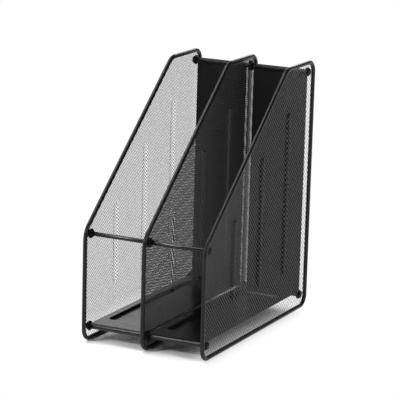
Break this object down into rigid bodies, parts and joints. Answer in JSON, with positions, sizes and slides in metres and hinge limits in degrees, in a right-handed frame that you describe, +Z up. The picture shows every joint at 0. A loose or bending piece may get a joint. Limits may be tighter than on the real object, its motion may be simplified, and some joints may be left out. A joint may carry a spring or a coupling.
{
  "type": "mesh magazine file",
  "caption": "Free-standing desk file with sloping wire-framed mesh sides, solid back sheets, base trays and cross rods, open at the front and top for magazines.",
  "frame": {"origin": "centre of the footprint, on the surface that the file stands on", "axes": "+Z up, +X to the right across the bays, -Y towards the open front"},
  "size_m": [0.1592, 0.2866, 0.3101],
  "materials": {
    "wire_coat": "satin black powder coat on round wire",
    "mesh_coat": "satin black powder coat on expanded mesh",
    "sheet_coat": "satin black powder coat on sheet steel",
    "rod_coat": "satin black powder coat on tube",
    "fixing_coat": "black coated steel fixings"
  },
  "bodies": {
    "root": {"left_side_frame": "wire_coat", "left_side_mesh": "mesh_coat", "middle_side_frame": "wire_coat", "middle_side_mesh": "mesh_coat", "right_side_frame": "wire_coat", "right_side_mesh": "mesh_coat", "middle_upright": "wire_coat", "left_back_sheet": "sheet_coat", "left_base_tray": "sheet_coat", "left_front_top_rod": "rod_coat", "left_front_top_outer_socket": "fixing_coat", "left_front_top_inner_socket": "fixing_coat", "left_front_top_screw": "fixing_coat", "left_rear_top_rod": "rod_coat", "left_rear_top_outer_washer": "fixing_coat", "left_rear_top_screw": "fixing_coat", "left_front_base_rod": "rod_coat", "left_front_base_outer_washer": "fixing_coat", "left_front_base_inner_washer": "fixing_coat", "left_front_base_screw": "fixing_coat", "left_rear_base_rod": "rod_coat", "left_rear_base_outer_washer": "fixing_coat", "left_rear_base_screw": "fixing_coat", "right_back_sheet": "sheet_coat", "right_base_tray": "sheet_coat", "right_front_top_rod": "rod_coat", "right_front_top_outer_socket": "fixing_coat", "right_front_top_inner_socket": "fixing_coat", "right_front_top_screw": "fixing_coat", "right_rear_top_rod": "rod_coat", "right_rear_top_outer_washer": "fixing_coat", "right_rear_top_inner_washer": "fixing_coat", "right_rear_top_screw": "fixing_coat", "right_front_base_rod": "rod_coat", "right_front_base_outer_washer": "fixing_coat", "right_front_base_inner_washer": "fixing_coat", "right_front_base_screw": "fixing_coat", "right_rear_base_rod": "rod_coat", "right_rear_base_outer_washer": "fixing_coat", "right_rear_base_inner_washer": "fixing_coat", "right_rear_base_screw": "fixing_coat", "middle_front_top_stud": "fixing_coat", "middle_rear_top_stud": "fixing_coat", "middle_front_base_stud": "fixing_coat", "middle_rear_base_stud": "fixing_coat"}
  },
  "joints": []
}
